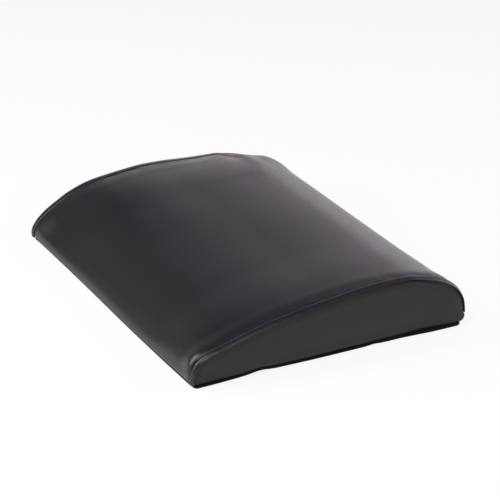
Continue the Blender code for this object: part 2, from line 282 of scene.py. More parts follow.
def wovenCloth(name, dark, light, roughness, thread, depth, turn=(0, 0, 0), shine=0.25):
    material, tree, shader = newMaterial(name, dark, roughness, specular=shine)
    shader.inputs["Sheen Weight"].default_value = shine / 2
    shader.inputs["Sheen Roughness"].default_value = 0.5
    point = objectPoint(tree, turn=turn)
    threads = {"Vector": point, "Scale": thread}
    across = addNode(tree, "ShaderNodeTexWave", threads, bands_direction="Y")
    along = addNode(tree, "ShaderNodeTexWave", threads, bands_direction="DIAGONAL")
    weave = reckoned(tree, "MULTIPLY", across.outputs["Fac"], along.outputs["Fac"])
    fuzz = noise(tree, point, 900.0, 3.0)
    varyColour(tree, shader, fuzz, dark, light)
    under = addBump(tree, shader, weave, depth)
    addBump(tree, shader, fuzz, depth / 2, under=under)
    return material


def spunThread(name, dark, light):
    material, tree, shader = newMaterial(name, dark, 0.55, specular=0.35)
    shader.inputs["Sheen Weight"].default_value = 0.2
    point = objectPoint(tree, turn=(0.5, 0.6, 0.4))
    twist = addNode(tree, "ShaderNodeTexWave", {"Vector": point, "Scale": 700.0, "Distortion": 1.0})
    varyColour(tree, shader, twist.outputs["Fac"], dark, light)
    addBump(tree, shader, twist.outputs["Fac"], 0.03 * mm)
    return material


def openFoam(name):
    material, tree, shader = newMaterial(name, (0.04, 0.042, 0.045), 0.95, specular=0.15)
    point = objectPoint(tree)
    cells = addNode(tree, "ShaderNodeTexVoronoi", {"Vector": point, "Scale": 700.0}, feature="F1")
    varyColour(tree, shader, cells.outputs["Distance"], (0.055, 0.057, 0.061), (0.025, 0.026, 0.028))
    addBump(tree, shader, cells.outputs["Distance"], 0.15 * mm)
    return material


def blackNylon(name):
    material, tree, shader = newMaterial(name, (0.012, 0.012, 0.013), 0.32)
    scuff = noise(tree, objectPoint(tree), 1500.0, 3.0)
    varyColour(tree, shader, scuff, (0.010, 0.010, 0.011), (0.018, 0.018, 0.019))
    varyGloss(tree, shader, scuff, 0.26, 0.42)
    return material


def darkMetal(name):
    material, tree, shader = newMaterial(name, (0.09, 0.09, 0.095), 0.34, metallic=1.0)
    brushed = noise(tree, objectPoint(tree, scale=(1, 0.15, 1)), 2600.0, 4.0)
    worn = noise(tree, objectPoint(tree), 420.0, 5.0)
    varyColour(tree, shader, worn, (0.070, 0.070, 0.074), (0.135, 0.133, 0.130))
    varyGloss(tree, shader, brushed, 0.26, 0.46)
    addBump(tree, shader, brushed, 0.008 * mm)
    return material


topLeather = leather("topLeather", leatherLook["top"])
endLeather = leather("endLeather", leatherLook["end"])
gripCloth = wovenCloth("gripCloth", (0.0022, 0.0022, 0.0024), (0.005, 0.005, 0.0052), 0.9, 260.0,
                       0.06 * mm, shine=0.1)
tapeCloth = wovenCloth("tapeCloth", (0.008, 0.008, 0.009), (0.015, 0.015, 0.016), 0.75, 420.0,
                       0.08 * mm)
gripRubber = blackNylon("gripRubber")
blackThread = spunThread("blackThread", (0.010, 0.010, 0.011), (0.020, 0.020, 0.021))
greyFoam = openFoam("greyFoam")
coilNylon = blackNylon("coilNylon")
gunMetal = darkMetal("gunMetal")
print("materials made")


# The pad's profile, read from the CAD's top panel
weld = 0.01 * mm
panelMesh = bmesh.new()
panelMesh.from_mesh(nodes["top_panel"].data)
bmesh.ops.remove_doubles(panelMesh, verts=panelMesh.verts, dist=weld)
lowCorner = min(panelMesh.verts, key=lambda v: (round(v.co.z, 5), v.co.y)).co.copy()
wideCorner = min(panelMesh.verts, key=lambda v: v.co.y).co.copy()


def halfWidth(z):
    # half of the width over the welts, which draws in towards the base
    slope = (lowCorner.y - wideCorner.y) / (wideCorner.z - lowCorner.z)
    return -lowCorner.y + slope * (z - lowCorner.z)


def outerEdge():
    # the ring of points where the near end's groove meets the panel, walked over its outer face
    wayIn = {v: halfWidth(v.co.z) + v.co.y for v in panelMesh.verts if v.co.y < 0}
    deepest = max(wayIn.values())
    ring = {v for v in wayIn if deepest - wayIn[v] < 0.1 * mm}
    hemHeight = min(v.co.z for v in ring if v.co.x > 0)
    spot = min(ring, key=lambda v: (round(v.co.z, 5), v.co.x))
    walked = [spot]
    # the first step goes up, and the others have one way to go
    while not (spot.co.x > 0 and spot.co.z < hemHeight + weld):
        beside = [e.other_vert(spot) for e in spot.link_edges]
        ahead = [v for v in beside if v in ring and v not in walked]
        spot = max(ahead, key=lambda v: v.co.z) if len(walked) < 2 else ahead[0]
        walked.append(spot)
    return np.array([(v.co.x, v.co.z) for v in walked])


def smoothThrough(points, steps=10):
    # a smooth curve through the points, as finely as steps says
    spans = np.linalg.norm(np.diff(points, axis=0), axis=1)
    slopes = np.diff(points, axis=0) / spans[:, None]
    before, after = spans[:-1, None], spans[1:, None]
    inner = (slopes[:-1] * after + slopes[1:] * before) / (before + after)
    tangents = np.vstack([slopes[:1], inner, slopes[-1:]])
    t = (np.arange(steps) / steps)[:, None]
    curve = []
    for i, span in enumerate(spans):
        curve.append(points[i] * (2 * t**3 - 3 * t**2 + 1)
                     + tangents[i] * span * (t**3 - 2 * t**2 + t)
                     + points[i + 1] * (3 * t**2 - 2 * t**3)
                     + tangents[i + 1] * span * (t**3 - t**2))
    return np.vstack(curve + [points[-1:]])


edge = smoothThrough(outerEdge())
edgeRun = np.concatenate([[0], np.cumsum(np.linalg.norm(np.diff(edge, axis=0), axis=1))])
edgeLength = edgeRun[-1]
edgeWay = np.gradient(edge, edgeRun, axis=0)
edgeWay /= np.linalg.norm(edgeWay, axis=1)[:, None]
edgeNormal = np.stack([-edgeWay[:, 1], edgeWay[:, 0]], axis=1)
panelMesh.free()


def alongEdge(table, run):
    return np.stack([np.interp(run, edgeRun, table[:, i]) for i in (0, 1)], axis=-1)


def nearestRun(x, z):
    # how far along the profile the nearest point of it lies
    gaps = (np.asarray(x)[..., None] - edge[:, 0]) ** 2 + (np.asarray(z)[..., None] - edge[:, 1]) ** 2
    return edgeRun[np.argmin(gaps, axis=-1)]


def noseRunAt(height):
    # how far along the profile it comes down to a height, past its middle
    return edgeRun[np.argmin(np.abs(edge[:, 1] - height) + (edgeRun < edgeLength / 2))]


crownRun = edgeRun[np.argmax(edge[:, 1])]
print(f"profile read: {edgeLength / mm:.0f} mm long, crown at {crownRun / mm:.0f} mm")


# How the leather lies over the CAD's faces: fuller at the far end's low shoulder, drawn down
# at the far crown, rolled over at the low edge, and a little slack between the ends. Its tables
# of runs are in millimetres
lie = {
    "farShape": ((0, 0.0), (8, -0.6), (16, -2.4), (25, -3.0), (36, -0.9), (47, 1.9), (57, 4.3),
                 (68, 6.0), (82, 7.0), (96, 6.8), (112, 5.4), (132, 3.9), (152, 2.3), (170, -0.2),
                 (188, -3.6), (207, -6.9), (226, -8.3), (238, -8.7), (247, -9.7), (268, -9.5),
                 (290, -7.0), (304, -6.2), (318, -2.2), (338, 0.0)),    # run and rise at the far seam
    "farShoulderFrom": 0.02, "farCrownFrom": 0.105, "farNoseFrom": 0.162,  # where along Y each starts
    "farNoseRun": (235 * mm, 55 * mm), "farCrownRun": (120 * mm, 60 * mm), "farCrownPower": 1.5,
    "wave": 0.16 * mm, "waveFades": 30 * mm, "waveWayIn": 40 * mm,
    "waves": ((0.031, 0.047, 0.6, 1.0), (0.023, -0.036, 2.1, 1.0), (0.057, 0.019, 4.0, 0.8)),
    "lowRoll": ((0, 0.0), (2.5, -0.2), (5, -1.0), (8, -2.3), (11, -3.4), (15, -4.2), (20, -4.3),
                (24, -4.0), (30, -3.1), (38, -2.0), (50, -0.9), (65, -0.2), (80, 0.0)),      # run, rise
    "rollWayIn": 5 * mm, "rollNear": 30 * mm, "rollNearLeast": 0.5, "rollFar": 40 * mm,
    "pillow": ((0, 0.3, 4, 11), (8, 1.7, 3, 11), (16, 3.0, 3, 11), (26, 3.2, 3, 12),
               (45, 2.2, 6, 13), (90, 1.7, 7, 18), (200, 1.5, 7, 16), (260, 0.9, 7, 9),
               (300, 0.8, 7, 8), (338, 0.0, 7, 8)),     # run, height, start and reach from the near seam
    "pillowFades": (35 * mm, 70 * mm),
    "farPillow": (1.5 * mm, 7 * mm, 20 * mm),           # height, start and reach
    "farPillowFrom": (30 * mm, 40 * mm), "farPillowTo": (60 * mm, 60 * mm),
    "footCloser": 0.8 * mm, "footRun": (12 * mm, 40 * mm), "footSeam": 6 * mm,
    "footWayIn": (7 * mm, 12 * mm),
    "swellings": (      # run, place along Y, reach of each, and height
        (27 * mm, -0.172, 13 * mm, 9 * mm, 0.9 * mm),
        (60 * mm, -0.160, 16 * mm, 8 * mm, -0.25 * mm),
        (292 * mm, -0.176, 24 * mm, 15 * mm, 2.3 * mm),
        (290 * mm, -0.130, 30 * mm, 60 * mm, 0.9 * mm),
        (290 * mm, 0.0, 30 * mm, 250 * mm, 1.2 * mm),
        (300 * mm, 0.156, 22 * mm, 15 * mm, 1.3 * mm),
        (294 * mm, 0.184, 28 * mm, 12 * mm, -2.6 * mm),
        (324 * mm, -0.190, 22 * mm, 10 * mm, 1.2 * mm),
        (34 * mm, -0.188, 16 * mm, 16 * mm, 1.0 * mm),
        (6 * mm, -0.055, 16 * mm, 85 * mm, 1.6 * mm),
        (6 * mm, -0.115, 16 * mm, 55 * mm, 0.5 * mm),
        (3 * mm, 0.190, 9 * mm, 7 * mm, 1.4 * mm),
    ),
}
halfSpan = cadBox[1].y
farTable = smoothThrough(np.array(lie["farShape"]) * mm)
farTable[:, 0] *= edgeLength / farTable[-1, 0]
pillowTable = np.array(lie["pillow"]) * mm
rollTable = smoothThrough(np.array(lie["lowRoll"]) * mm)


def fade(value, span):
    # 0 to 1 over a span that is given as its start and its length
    return easeIn((value - span[0]) / span[1])


def endFade(run, start, end):
    # 0 to 1 to 0 along the profile
    return easeIn(run / start) * easeIn((edgeLength - run) / end)


# Where the far seam gathers the leather: run at the seam, drift, length, width, height
folds = (
    (230 * mm, 0.25, 26 * mm, 4.5 * mm, 0.8 * mm),
    (241 * mm, 0.15, 40 * mm, 5.0 * mm, -2.2 * mm),
    (257 * mm, 0.04, 72 * mm, 6.5 * mm, 2.2 * mm),
    (272 * mm, -0.02, 66 * mm, 6.0 * mm, -1.9 * mm),
)
foldLook = {"wayIn": 6 * mm, "quickness": 3.5, "widens": 0.6}


def foldRise(run, y):
    wayIn = np.clip(halfSpan - y - foldLook["wayIn"], 0, None)
    rise = np.zeros(np.broadcast(run, y).shape)
    for at, drift, length, width, height in folds:
        along = np.clip(wayIn / length, 0, 1)
        strength = easeIn(along * foldLook["quickness"]) * (1 - easeIn(along))
        wide = width * (1 + foldLook["widens"] * along)
        rise += height * strength * bump(run, at + drift * wayIn, wide)
    return rise


def pillowRise(run, y):
    # the foam stands a little above both seams
    height, start, reach = (np.interp(run, pillowTable[:, 0], pillowTable[:, i]) for i in (1, 2, 3))
    wayIn = halfSpan + y
    near = height * fade(wayIn, (start, reach)) * (1 - fade(wayIn, lie["pillowFades"]))
    height, start, reach = lie["farPillow"]
    onTop = fade(run, lie["farPillowFrom"]) * fade(edgeLength - run, lie["farPillowTo"])
    wayIn = halfSpan - y
    far = height * onTop * fade(wayIn, (start, reach)) * (1 - fade(wayIn, lie["pillowFades"]))
    return near + far


def leatherRise(run, y):
    # square to the CAD's face, in metres
    run, y = np.broadcast_arrays(np.asarray(run, float), np.asarray(y, float))
    shape = np.interp(run, farTable[:, 0], farTable[:, 1])
    shoulder = easeIn((y - lie["farShoulderFrom"]) / (halfSpan - lie["farShoulderFrom"]))
    later = lie["farNoseFrom"] - lie["farCrownFrom"]
    start = lie["farCrownFrom"] + later * fade(run, lie["farNoseRun"])
    crown = np.clip((y - start) / (halfSpan - start), 0, 1) ** lie["farCrownPower"]
    past = fade(run, lie["farCrownRun"])
    rise = shape * (shoulder * (1 - past) + crown * past)
    waves = sum(size * np.sin(run / long + y / wide + turn) for long, wide, turn, size in lie["waves"])
    waves = waves * endFade(run, lie["waveFades"], lie["waveFades"])
    rise = rise + lie["wave"] * waves * easeIn((halfSpan - np.abs(y)) / lie["waveWayIn"]) / 2
    for at, across, reach, width, height in lie["swellings"]:
        rise = rise + height * bump(run, at, reach) * bump(y, across, width)
    least = lie["rollNearLeast"]
    near = least + (1 - least) * fade(halfSpan + y, (lie["rollWayIn"], lie["rollNear"]))
    far = fade(halfSpan - y, (lie["rollWayIn"], lie["rollFar"]))
    rise = rise + np.interp(run, rollTable[:, 0], rollTable[:, 1]) * np.where(y < 0, near, far)
    return rise + pillowRise(run, y)


def seamShift(run, wayIn):
    # the seam's stitches run closer to the edge near the foot
    closer = lie["footCloser"] * (1 - fade(run, lie["footRun"]))
    return wayIn - closer * np.clip(wayIn / lie["footSeam"], 0, 1) * (1 - fade(wayIn, lie["footWayIn"]))


def onLeather(run, y, rise=0.0):
    # points on the leather, or a given rise above it
    run, y, rise = np.broadcast_arrays(*(np.asarray(value, float) for value in (run, y, rise)))
    foot, outward = alongEdge(edge, run), alongEdge(edgeNormal, run)
    height = rise + leatherRise(run, y)
    x = foot[..., 0] + outward[..., 0] * height
    z = foot[..., 1] + outward[..., 1] * height
    return np.stack([x, y * halfWidth(foot[..., 1]) / halfSpan, z], axis=-1)


# Cloth simulation, for the panels that the foam swells
cloth = {"pressure": 4.0, "frames": 20, "quality": 6, "stiffness": 15.0, "bending": 2.0, "mass": 0.3,
         "heldBelow": 0.001, "smoothing": 14}


def swell(piece, loose, cap, rows, keep=1.0):
    # the panel swells between its held points. No point moves further than the cap, and creases
    # are smoothed away
    start = np.array([v.co for v in piece.data.vertices])
    group = piece.vertex_groups.new(name="held")
    group.add([int(i) for i in np.nonzero(loose.ravel() <= cloth["heldBelow"])[0]], 1.0, "REPLACE")
    modifier = piece.modifiers.new("swell", "CLOTH")
    settings = modifier.settings
    settings.quality = cloth["quality"]
    settings.mass = cloth["mass"]
    settings.tension_stiffness = settings.compression_stiffness = cloth["stiffness"]
    settings.shear_stiffness = cloth["stiffness"] / 2
    settings.bending_stiffness = cloth["bending"]
    settings.use_pressure = True
    settings.uniform_pressure_force = cloth["pressure"]
    settings.effector_weights.gravity = 0
    settings.vertex_group_mass = "held"
    modifier.point_cache.frame_start = 1
    modifier.point_cache.frame_end = cloth["frames"]
    for number in range(1, cloth["frames"] + 1):
        scene.frame_set(number)
    swollen = piece.evaluated_get(bpy.context.evaluated_depsgraph_get())
    moved = np.array([v.co for v in swollen.data.vertices]) - start
    piece.modifiers.remove(modifier)
    piece.vertex_groups.remove(group)
    scene.frame_set(1)
    far = np.linalg.norm(moved, axis=1)
    moved *= (cap * np.tanh(far / cap) / np.maximum(far, 1e-9))[:, None]
    moved = moved.reshape(rows, -1, 3)
    for _ in range(cloth["smoothing"]):
        soft = moved.copy()
        soft[1:-1] = (soft[:-2] + 2 * soft[1:-1] + soft[2:]) / 4
        soft[:, 1:-1] = (soft[:, :-2] + 2 * soft[:, 1:-1] + soft[:, 2:]) / 4
        moved = soft
    moved = moved * keep
    piece.data.vertices.foreach_set("co", (start + moved.reshape(-1, 3)).astype(np.float32).ravel())
    piece.data.update()
    print(f"{piece.name} swelled by {far.max() / mm:.2f} mm, kept to {abs(moved).max() / mm:.2f} mm")


def sewPanel(piece, thickness):
    thicken(piece, thickness)
    finer = piece.modifiers.new("finer", "SUBSURF")
    finer.levels = finer.render_levels = 1
    applyModifiers(piece)
    smoothShade(piece, 60)


# Welts: the folded edge of the top cover along each end seam
welt = {
    "spacing": 0.9 * mm, "start": 0.6 * mm, "nearFuller": 2.1, "farShallower": 0.4,
    "pucker": 0.10 * mm, "puckerPitch": 3.5 * mm, "puckerFrom": 3 * mm,
    "slack": 0.06 * mm, "slackWaves": (11 * mm, 4.7 * mm),
    "section": ((1.8, -1.2), (0.7, -1.1), (0.15, -0.9), (0.0, -0.62), (0.12, -0.3), (0.38, 0.02),
                (1.1, 0.16), (2.9, 0.44), (4.6, 0.70), (5.7, 0.56), (6.5, -0.05), (6.8, -0.7),
                (6.6, -1.35), (4.8, -1.4)),             # way in from the edge, and rise, in mm
    "slackAbove": -1 * mm, "innerWall": 5.5 * mm,
}


# Top cover: one sheet from the base, over the crown, to a doubled hem over the zip
topCover = {
    "spacing": 3.7 * mm, "finer": 0.7, "finerAt": (252 * mm, 38 * mm), "thickness": 1.7 * mm,
    "footRound": 2.0 * mm, "turnSteps": 5, "turnFrom": 1.6 * mm, "hemUpTo": 0.4 * mm,
    "ends": ((7.5, -1.45), (7.56, -1.0), (7.75, -0.6), (8.1, -0.3), (8.7, -0.1), (9.6, 0.0),
             (10.9, 0.0), (12.6, 0.0), (14.8, 0.0)),    # way in from the welt's edge, and rise, in mm
    "held": (8 * mm, 25 * mm), "heldWayIn": (9.4 * mm, 22 * mm), "cap": 2.0 * mm,
    "startLower": 0.8 * mm, "firmAt": 25 * mm, "firmReach": 70 * mm, "firmness": 0.85,
}
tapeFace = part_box("zip_tape_upper")[1].x
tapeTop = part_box("zip_tape_upper")[1].z
seatGap = 0.3 * mm


def coverSection():
    # across the body: where each column of the cover lies, its outward direction, and its run
    hem = edge[-1]
    inner = tapeFace + seatGap
    turnRun = edgeLength - topCover["turnFrom"]
    # the hem folds over where one fold's radius is left above the welt's end, found in a few steps
    for _ in range(4):
        top, out = alongEdge(edge, turnRun), alongEdge(edgeNormal, turnRun)
        radius = (top[0] - inner) / (1 + out[0])
        turnRun = noseRunAt(hem[1] + radius * (1 + out[1]))
    footRound = topCover["footRound"]
    fine = np.linspace(footRound, turnRun, 1000)
    density = np.cumsum(1 + topCover["finer"] * bump(fine, *topCover["finerAt"])) * (fine[1] - fine[0])
    density -= density[0]
    count = round(density[-1] / topCover["spacing"]) + 1
    runs = np.interp(np.linspace(0, density[-1], count), density, fine)
    main = [(*alongEdge(edge, run), *alongEdge(edgeNormal, run), run) for run in runs]
    foot = edge[0] + (footRound, footRound)
    turnIn = []
    for angle in np.linspace(-math.pi / 2, -math.pi, topCover["turnSteps"])[:-1]:
        place = foot + footRound * np.array((math.cos(angle), math.sin(angle)))
        turnIn.append((*place, -1.0, 0.0, 0.0))
    centre = top - out * radius
    fold = []
    for angle in np.linspace(math.atan2(out[1], out[0]), -math.pi, 2 * topCover["turnSteps"] + 1)[1:]:
        outward = np.array((math.cos(angle), math.sin(angle)))
        fold.append((*(centre + radius * outward), *outward, edgeLength))
    rest = [(centre[0] - radius, z, -1.0, 0.0, edgeLength)
            for z in np.linspace(centre[1], tapeTop - topCover["hemUpTo"], 4)[1:]]
    return np.array(turnIn + main + fold + rest)


def endProfile():
    # the stations across the body, with the rise of the sheet's edge at each seam
    ends = [(wayIn * mm, rise * mm) for wayIn, rise in topCover["ends"]]
    reach = halfSpan - ends[-1][0]
    count = round(2 * reach / topCover["spacing"])
    middle = [(y, 0.0) for y in np.linspace(-reach, reach, count + 1)[1:-1]]
    near = [(-halfSpan + wayIn, rise) for wayIn, rise in ends]
    far = [(halfSpan - wayIn, rise * welt["farShallower"]) for wayIn, rise in reversed(ends)]
    return np.array(near + middle + far)


# Small puckers beside the stitches, from two ripples of which the first is uneven
pucker = {"height": 0.12 * mm, "wayIn": 10.5 * mm, "reach": 5.0 * mm, "fades": (20 * mm, 25 * mm),
          "share": 0.6, "quick": 2.3 * mm, "uneven": 9 * mm, "steady": 3.9 * mm}


def seamPucker(run, y):
    uneven = pucker["share"] * np.sin(run / pucker["quick"] + 2 * np.sin(run / pucker["uneven"]))
    ripple = uneven + np.sin(run / pucker["steady"] + 1.0)
    nearSeam = bump(halfSpan - np.abs(y), pucker["wayIn"], pucker["reach"])
    return pucker["height"] * ripple * endFade(run, *pucker["fades"]) * nearSeam


def makeTopCover():
    section, stations = coverSection(), endProfile()
    column, row = section[:, None, :], stations[None, :, :]
    run, y = np.broadcast_arrays(column[..., 4], row[..., 0])
    wayIn = halfSpan - np.abs(y)
    loose = fade(run, topCover["held"]) * fade(edgeLength - run, topCover["held"])
    loose = loose * fade(wayIn, topCover["heldWayIn"])
    slack = 1 - topCover["firmness"] * bump(run, crownRun + topCover["firmAt"], topCover["firmReach"])
    rise = row[..., 1] + leatherRise(run, y) + seamPucker(run, y) - topCover["startLower"] * loose * slack
    x = column[..., 0] + column[..., 2] * rise
    z = column[..., 1] + column[..., 3] * rise
    sideways = np.sign(y) * (halfSpan - seamShift(run, wayIn))
    points = np.stack([x, sideways * halfWidth(column[..., 1]) / halfSpan, z], axis=-1)
    rows, columns = points.shape[:2]
    piece = addPiece("top_cover", points.reshape(-1, 3), gridFaces(rows, columns))
    piece.data.flip_normals()
    swell(piece, loose, topCover["cap"], rows, slack[..., None])
    # the gathered folds come after the swelling, which would iron them out
    fold = foldRise(run, y)
    shift = np.stack([column[..., 2] * fold, 0 * fold, column[..., 3] * fold], axis=-1).reshape(-1, 3)
    for v, by in zip(piece.data.vertices, shift):
        v.co += Vector(by)
    sewPanel(piece, topCover["thickness"])
    finishPiece(piece, topLeather, "mat", ["top_panel"])


makeTopCover()
print("top cover made")


def makeWelt(name, side):
    runs = np.linspace(welt["start"], edgeLength, round(edgeLength / welt["spacing"]))[:, None]
    wayIn, rise = (np.array(welt["section"]) * mm).T
    if side < 0:
        rise = np.where(rise > 0, rise * welt["nearFuller"], rise)
    else:
        rise = np.where((rise > 0) | (wayIn > welt["innerWall"]), rise * welt["farShallower"], rise)
    y = side * (halfSpan - seamShift(runs, wayIn[None, :]))
    dip = np.clip((wayIn - welt["puckerFrom"]) / welt["puckerFrom"], 0, 1) * (rise > 0)
    wobble = welt["pucker"] * np.cos(runs / welt["puckerPitch"] * 2 * math.pi)
    long, short = welt["slackWaves"]
    slack = welt["slack"] * (np.sin(runs / long + side) + np.sin(runs / short + 2 * side))
    points = onLeather(runs, y, rise + dip * wobble + slack * (rise > welt["slackAbove"]))
    rows, columns = points.shape[:2]
    faces = gridFaces(rows, columns, ringed=True)
    faces.append(tuple(range(columns)))
    faces.append(tuple(range((rows - 1) * columns, rows * columns)))
    piece = addPiece(name, points.reshape(-1, 3), faces)
    outwards(piece)
    smoothShade(piece, 50)
    finishPiece(piece, topLeather, "mat", ())


makeWelt("welt_left", -1)
makeWelt("welt_right", 1)
print("welts made")


# Base: a sheet of grip cloth with raised dots under it. Its near edge waves up from the floor
base = {
    "columns": 100, "rows": 124, "corner": 3 * mm, "noseCorner": 7 * mm,
    "lift": ((0.01, 0.10, 0.1 * mm), (-0.076, 0.011, 1.7 * mm), (-0.066, 0.035, 0.9 * mm),
             (0.046, 0.007, 0.8 * mm)),           # x, reach and height of each wave
    "liftReach": 14 * mm, "rim": 10 * mm, "rimRun": 2 * mm, "outMore": 1.0 * mm,
    "noseOut": 2.6 * mm, "noseFrom": (0.07, 0.05), "cornerOut": 0.9 * mm, "cornerFrom": (0.09, 0.04),
    "edgeDip": 0.25 * mm, "edgeDipReach": 1.2 * mm, "edgeRound": 0.5 * mm,
    "dotSize": 2.1 * mm, "dotRise": 0.3 * mm, "dotPitch": 5 * mm, "dotMargin": 6 * mm,
    "dotSteps": ((0.7, 0.86), (0.3, 0.62)),       # share of the dot's height, and how far it narrows
}


def edgeLift(x, wayIn):
    lift = sum(height * bump(x, at, width) for at, width, height in base["lift"])
    return lift * (1 - easeIn(wayIn / base["liftReach"]))


# End covers: a crescent under each welt
endCover = {
    "columns": 96, "rows": 22, "thickness": 0.9 * mm, "inset": 0.7 * mm, "under": 1.25 * mm,
    "tuck": ((0, 1.6), (50, 2.2), (90, 3.6), (130, 5.2), (265, 5.2), (292, 2.6), (338, 0.8)),
    "tuckReach": 7.5 * mm, "tuckPower": 1.3,
    "footTuck": ((-0.14, 0.7), (-0.02, 0.9), (0.07, 2.0), (0.095, 2.0), (0.13, 0.4)),
    "footReach": 4.0 * mm, "cornerLow": 24 * mm, "cornerNose": 302 * mm, "fromBase": 0.2 * mm,
    "noseFuller": 2.6 * mm, "nosePower": 0.8,
    "loose": (1.5 * mm, 11 * mm), "cap": 2.6 * mm, "startLower": 0.9 * mm,
    "blister": (-137.5 * mm, 11.5 * mm, 3.0 * mm, 1.5 * mm),       # x, z, reach and height
    "nosePuff": (127 * mm, 17 * mm, 19 * mm, 1.8 * mm),
}
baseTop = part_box("top_panel")[0].z
baseLow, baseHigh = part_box("base_panel")


def between(first, last, share):
    return first + (last - first) * share[:, None]


def stretched(bottom, top, left, right):
    # a sheet stretched between four edges that meet at their ends
    u, v = np.linspace(0, 1, len(bottom))[None, :, None], np.linspace(0, 1, len(left))[:, None, None]
    ruled = (1 - v) * bottom[None] + v * top[None] + (1 - u) * left[:, None] + u * right[:, None]
    corners = ((1 - u) * (1 - v) * bottom[0] + u * (1 - v) * bottom[-1]
               + (1 - u) * v * top[0] + u * v * top[-1])
    return ruled - corners


def makeEndCover(name, side, node):
    y = side * (halfSpan - endCover["inset"])
    columns, rows = endCover["columns"], endCover["rows"]
    low, nose = endCover["cornerLow"], endCover["cornerNose"]
    across, up = np.linspace(0, 1, columns), np.linspace(0, 1, rows)
    runs = (low + (nose - low) * across, low * up, edgeLength + (nose - edgeLength) * up)
    top, left, right = (onLeather(run, y, -endCover["under"])[..., [0, 2]] for run in runs)
    # under the nose the rim goes on from the welt's end to the base
    foot = np.array((baseHigh.x - endCover["fromBase"], baseTop))
    down = np.linspace(1, 0, rows // 2 + 1)[:-1]
    lower = between(right[0], foot, down)
    lower[:, 0] += endCover["noseFuller"] * np.sin(math.pi * down) ** endCover["nosePower"]
    right = np.vstack([lower, right])[np.round(np.linspace(0, len(lower) + rows - 1, rows)).astype(int)]
    left[0, 1] = baseTop
    bottom = between(left[0], right[0], across)
    bottom[:, 1] += edgeLift(bottom[:, 0], 0.0) * (side < 0)
    x, z = np.moveaxis(stretched(bottom, top, left, right), -1, 0)
    run = nearestRun(x, z)
    nearest = alongEdge(edge, run)
    toWelt = np.hypot(x - nearest[..., 0], z - nearest[..., 1]) - endCover["under"]
    toFoot = z - baseTop
    tuck = np.interp(run, *(np.array(endCover["tuck"]) * mm).T)
    tuck = tuck * np.clip(1 - toWelt / endCover["tuckReach"], 0, 1) ** endCover["tuckPower"]
    footTuck = np.interp(x, *np.array(endCover["footTuck"]).T) * mm
    footTuck = footTuck * (1 - easeIn(toFoot / endCover["footReach"]))
    loose = fade(np.minimum(toWelt, toFoot), endCover["loose"])
    depth = endCover["inset"] + np.maximum(tuck, footTuck) + endCover["startLower"] * loose
    for atX, atZ, reach, height in (endCover["blister"], endCover["nosePuff"]) if side < 0 else ():
        depth = depth - height * bump(np.hypot(x - atX, z - atZ), 0, reach)
    points = np.stack([x, side * (halfWidth(z) - depth), z], axis=-1)
    piece = addPiece(name, points.reshape(-1, 3), gridFaces(rows, columns))
    if side > 0:
        piece.data.flip_normals()
    swell(piece, loose, endCover["cap"], rows)
    sewPanel(piece, endCover["thickness"])
    finishPiece(piece, endLeather, "mat", [node])


makeEndCover("end_cover_left", -1, "end_panel_left")
makeEndCover("end_cover_right", 1, "end_panel_right")
print("end covers made")


# Foam block, inside the cover
foamBlock = {"slices": 26, "endCuts": (5 * mm, 9 * mm), "skin": 6 * mm, "endSkin": 1 * mm,
             "shorter": 8.2 * mm, "endRound": 7 * mm, "endOut": 1.6 * mm}


def makeFoam():
    piece = nodes["foam_core"].copy()
    piece.data = nodes["foam_core"].data.copy()
    piece.parent = None
    for key in list(piece.keys()):
        del piece[key]
    piece.name = piece.data.name = "foam_block"
    scene.collection.objects.link(piece)
    edit = bmesh.new()
    edit.from_mesh(piece.data)
    bmesh.ops.remove_doubles(edit, verts=edit.verts, dist=weld)
    bmesh.ops.dissolve_limit(edit, angle_limit=math.radians(1), verts=edit.verts, edges=edit.edges)
    low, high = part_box("foam_core")
    places = list(np.linspace(low.y, high.y, foamBlock["slices"] + 1)[1:-1])
    places += [low.y + cut for cut in foamBlock["endCuts"]]
    places += [high.y - cut for cut in foamBlock["endCuts"]]
    for y in places:
        geometry = edit.verts[:] + edit.edges[:] + edit.faces[:]
        bmesh.ops.bisect_plane(edit, geom=geometry, plane_co=(0, y, 0), plane_no=(0, 1, 0))
    for v in edit.verts:
        run = float(nearestRun(v.co.x, v.co.z))
        foot, outward = alongEdge(edge, run), alongEdge(edgeNormal, run)
        if math.hypot(v.co.x - foot[0], v.co.z - foot[1]) < foamBlock["skin"]:
            rise = float(leatherRise(run, v.co.y)) - topCover["startLower"] / 2
            v.co.x += outward[0] * rise
            v.co.z += outward[1] * rise
        if abs(v.co.y) > high.y - foamBlock["endSkin"]:
            v.co.y = math.copysign(halfWidth(v.co.z) - foamBlock["shorter"], v.co.y)
    ends = [face for face in edit.faces if abs(face.normal.y) > 0.9]
    bmesh.ops.inset_individual(edit, faces=ends, thickness=foamBlock["endRound"],
                               depth=foamBlock["endOut"])
    edit.to_mesh(piece.data)
    edit.free()
    smoothShade(piece, 40)
    finishPiece(piece, greyFoam, "mat", ["foam_core"])


makeFoam()
print("foam block made")


